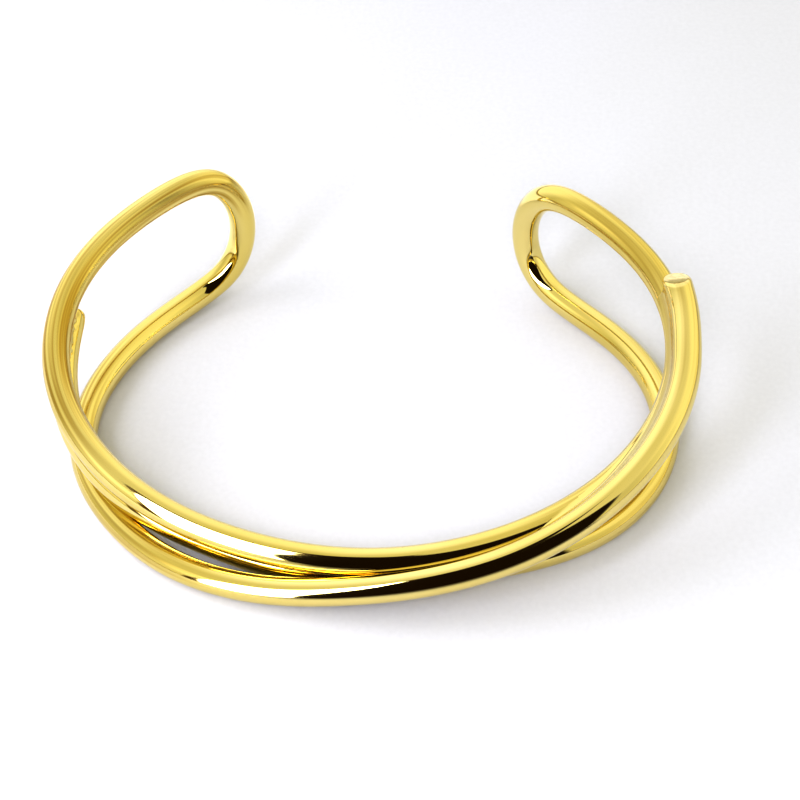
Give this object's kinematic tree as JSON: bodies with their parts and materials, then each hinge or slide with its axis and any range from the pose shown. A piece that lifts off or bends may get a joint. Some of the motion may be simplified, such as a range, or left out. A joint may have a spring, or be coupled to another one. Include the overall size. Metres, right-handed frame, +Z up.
{
  "type": "bangle",
  "caption": "Open cuff bangle of one polished round metal rod bent round the wrist several times, with a return loop at each side of the mouth and both cut ends soldered down.",
  "frame": {"origin": "middle of the bounding box in plan, at the floor that the bangle lies on", "axes": "+X across the wrist, +Y towards the mouth at the back, +Z up, along the wrist's way through"},
  "size_m": [0.0702, 0.0514, 0.0189],
  "materials": {
    "gold_tone_metal": "polished"
  },
  "bodies": {
    "root": {"bangle": "gold_tone_metal"}
  },
  "joints": []
}
